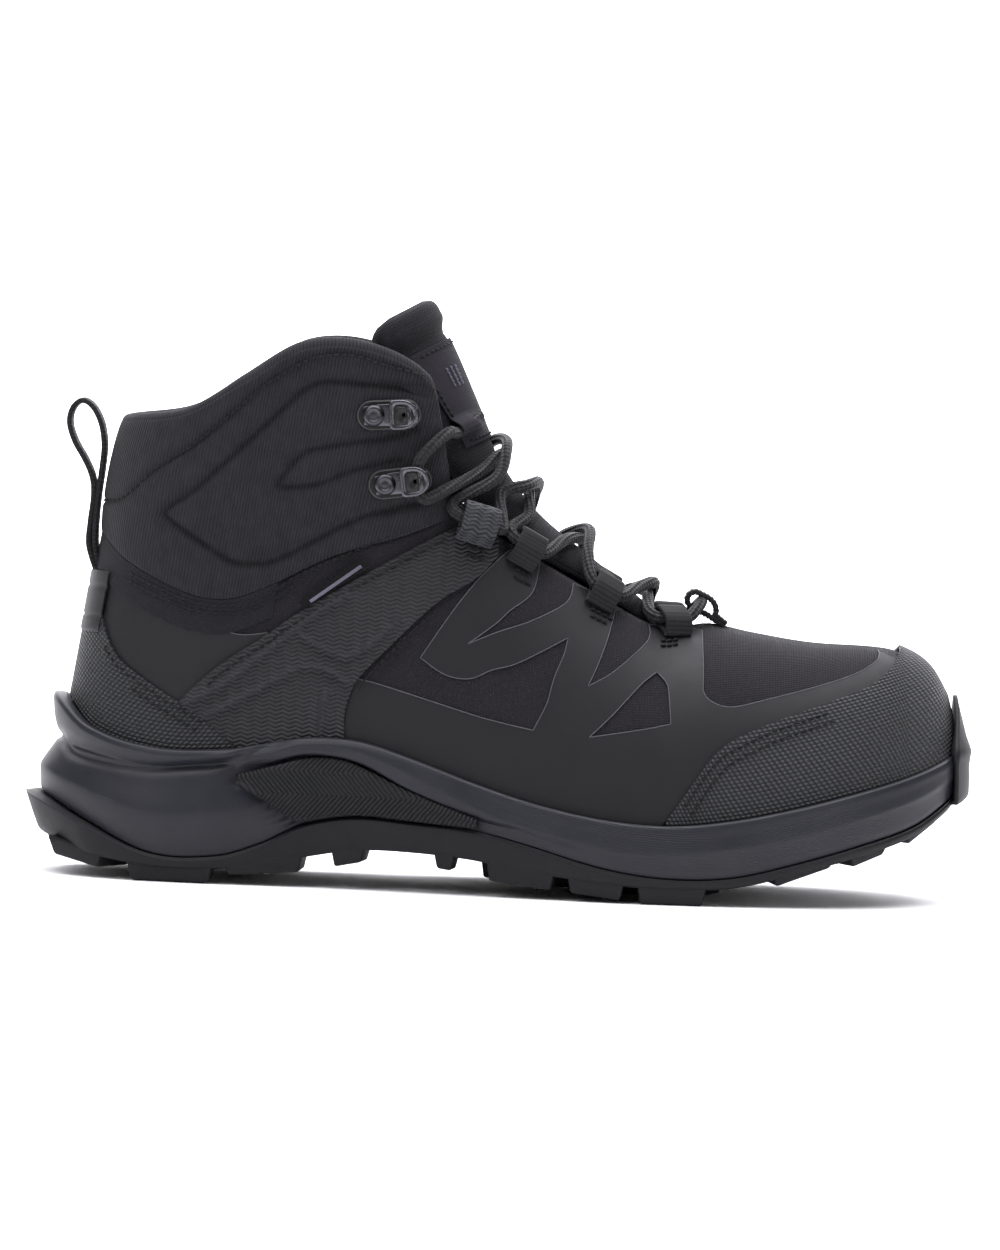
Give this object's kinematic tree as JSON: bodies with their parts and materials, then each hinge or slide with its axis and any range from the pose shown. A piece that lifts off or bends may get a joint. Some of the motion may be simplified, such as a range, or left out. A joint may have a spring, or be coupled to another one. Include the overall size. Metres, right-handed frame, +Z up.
{
  "type": "hiking boot",
  "caption": "Mid-height lace-up hiking boot for the right foot: lugged rubber sole, foam midsole, fabric upper with rubberised toe and heel caps, padded collar, lace hooks.",
  "frame": {"origin": "on the ground under the middle of the boot's box", "axes": "+X to the toe, +Y to the inner (medial) side of the foot, +Z up"},
  "size_m": [0.3076, 0.1104, 0.1904],
  "materials": {
    "rubber": "matte tread rubber",
    "foam": "fine-grained foam",
    "insert": "chevron-textured",
    "steel": "spring steel, hidden",
    "board": "pressed fibre, hidden",
    "footbed_foam": "knitted top cloth on foam",
    "upper_fabric": "heathered textile",
    "lining_fabric": "knitted lining",
    "overlay": "rubberised mesh",
    "film": "satin film",
    "strap": "embossed twill webbing",
    "softshell": "ribbed softshell",
    "tongue_fabric": "soft padded textile",
    "patch": "smooth textile",
    "webbing": "ribbed webbing",
    "lace": "braided, with light flecks",
    "tag": "woven label",
    "hook_plate": "dull black",
    "hook_metal": "dark nickel"
  },
  "bodies": {
    "boot": {"outsole": "rubber", "midsole": "foam", "arch_plate_lateral": "insert", "arch_plate_medial": "insert", "shank": "steel", "insole_board": "board", "toe_puff": "board", "heel_counter": "board", "vamp": "upper_fabric", "quarter_lateral": "upper_fabric", "quarter_medial": "upper_fabric", "band": "upper_fabric", "vamp_lining": "lining_fabric", "heel_lining": "lining_fabric", "collar_lining": "lining_fabric", "gusset_lateral": "lining_fabric", "gusset_medial": "lining_fabric", "toe_cap": "overlay", "heel_cap": "overlay", "film_overlay_lateral": "film", "film_overlay_medial": "film", "strap_lateral": "strap", "strap_medial": "strap", "collar": "softshell", "collar_binding": "softshell", "tongue": "tongue_fabric", "lace_pocket": "patch", "toe_keeper": "webbing", "strap_loop_lateral": "webbing", "strap_loop_medial": "webbing", "lace_loop_lateral_1": "webbing", "lace_loop_lateral_2": "webbing", "lace_loop_lateral_3": "webbing", "lace_loop_medial_1": "webbing", "lace_loop_medial_2": "webbing", "lace_loop_medial_3": "webbing", "lace": "lace", "side_tag": "tag", "heel_badge": "tag", "hook_plate_lateral_upper": "hook_plate", "hook_plate_lateral_lower": "hook_plate", "hook_plate_medial_upper": "hook_plate", "hook_plate_medial_lower": "hook_plate", "lace_hook_lateral_upper": "hook_metal", "lace_hook_lateral_lower": "hook_metal", "lace_hook_medial_upper": "hook_metal", "lace_hook_medial_lower": "hook_metal", "rivet_lateral_upper": "hook_metal", "rivet_lateral_lower": "hook_metal", "rivet_medial_upper": "hook_metal", "rivet_medial_lower": "hook_metal"},
    "tongue_top": {"tongue_flap": "tongue_fabric", "tongue_patch": "patch"},
    "heel_loop": {"pull_tab": "webbing"},
    "footbed": {"footbed": "footbed_foam"}
  },
  "joints": [
    {"name": "tongue_fold", "type": "hinge", "parent": "boot", "child": "tongue_top", "pos_m": [-0.0126, 0, 0.1576], "axis": [0, 1, 0], "range_deg": [0, 30]},
    {"name": "heel_loop_swing", "type": "hinge", "parent": "boot", "child": "heel_loop", "pos_m": [-0.136, 0, 0.1045], "axis": [0, 1, 0], "range_deg": [-70, 0], "stiffness_Nm_per_rad": 0.01},
    {"name": "footbed_lift", "type": "hinge", "parent": "boot", "child": "footbed", "pos_m": [0.141, 0.006, 0.0446], "axis": [0, 1, 0], "range_deg": [0, 3]}
  ]
}
